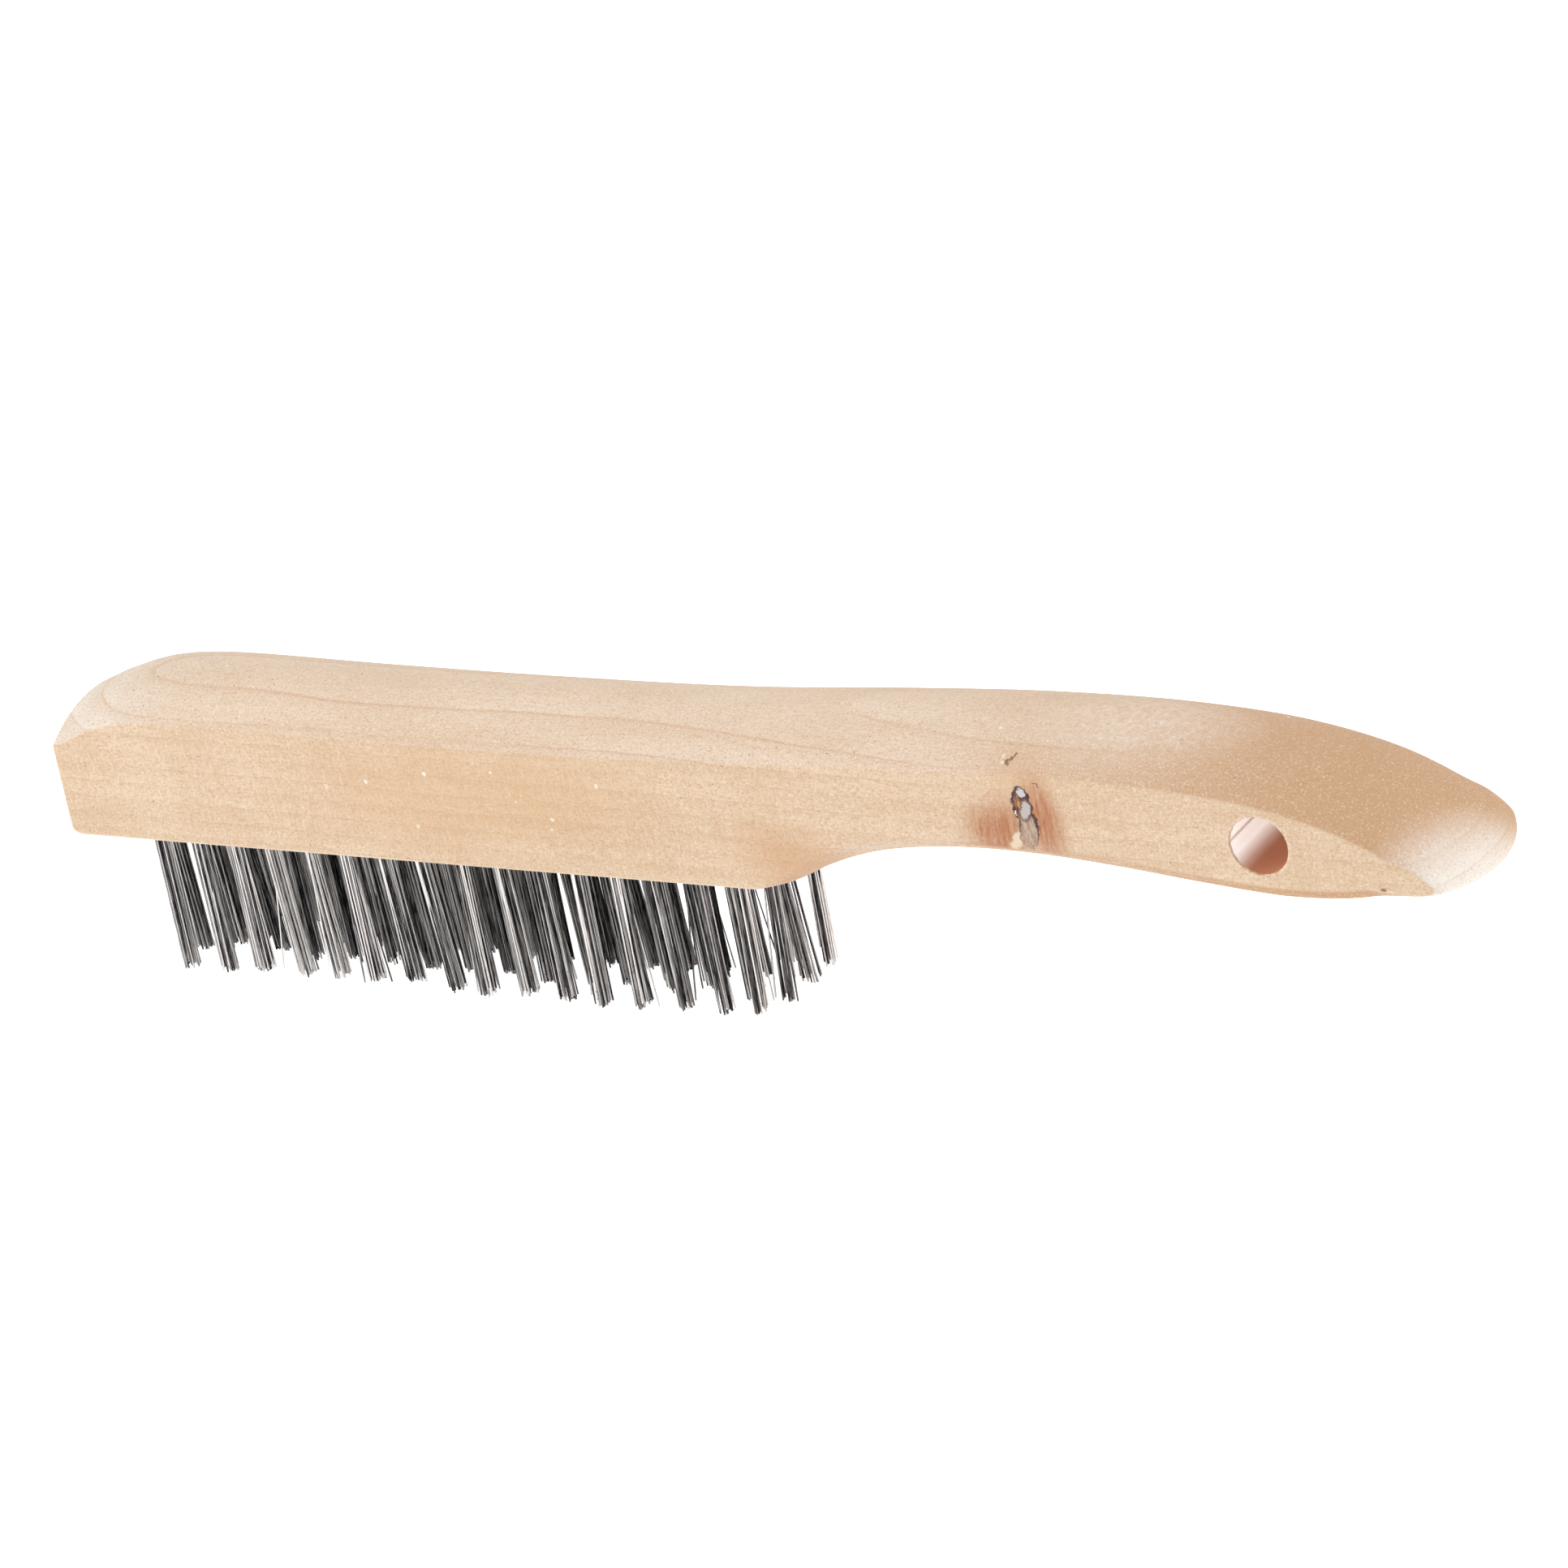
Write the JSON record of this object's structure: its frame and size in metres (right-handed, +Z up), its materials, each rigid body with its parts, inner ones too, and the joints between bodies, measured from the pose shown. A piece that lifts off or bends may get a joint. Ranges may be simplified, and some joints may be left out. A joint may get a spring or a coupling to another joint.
{
  "type": "wire scratch brush",
  "caption": "Hand wire brush with a one-piece curved wooden block, bristle head at one end, grip with a hanging hole at the other, for scrubbing slag, rust and scale.",
  "frame": {"origin": "centre of the bounding box in X and Y, at the plane of the bristle tips", "axes": "+X along the brush from the bristle end's nose to the handle's tip, +Z up from the bristle tips to the crown, +Y across the block towards its left side seen from behind the handle's tip"},
  "size_m": [0.26, 0.0288, 0.0537],
  "materials": {
    "block_wood": "bare sanded birch or maple, unvarnished, planed flat sides and a smooth shaped crown",
    "bristle_steel": "drawn carbon steel wire with bright cut ends",
    "anchor_steel": "plain flat steel anchor wire, hidden in the block"
  },
  "bodies": {
    "root": {"handle_block": "block_wood", "tuft_row_01": "bristle_steel", "tuft_row_02": "bristle_steel", "tuft_row_03": "bristle_steel", "tuft_row_04": "bristle_steel", "tuft_row_05": "bristle_steel", "tuft_row_06": "bristle_steel", "tuft_row_07": "bristle_steel", "tuft_row_08": "bristle_steel", "tuft_row_09": "bristle_steel", "tuft_row_10": "bristle_steel", "tuft_row_11": "bristle_steel", "tuft_row_12": "bristle_steel", "tuft_row_13": "bristle_steel", "tuft_row_14": "bristle_steel", "tuft_row_15": "bristle_steel", "tuft_row_16": "bristle_steel", "anchor_row_01": "anchor_steel", "anchor_row_02": "anchor_steel", "anchor_row_03": "anchor_steel", "anchor_row_04": "anchor_steel", "anchor_row_05": "anchor_steel", "anchor_row_06": "anchor_steel", "anchor_row_07": "anchor_steel", "anchor_row_08": "anchor_steel", "anchor_row_09": "anchor_steel", "anchor_row_10": "anchor_steel", "anchor_row_11": "anchor_steel", "anchor_row_12": "anchor_steel", "anchor_row_13": "anchor_steel", "anchor_row_14": "anchor_steel", "anchor_row_15": "anchor_steel", "anchor_row_16": "anchor_steel"}
  },
  "joints": []
}
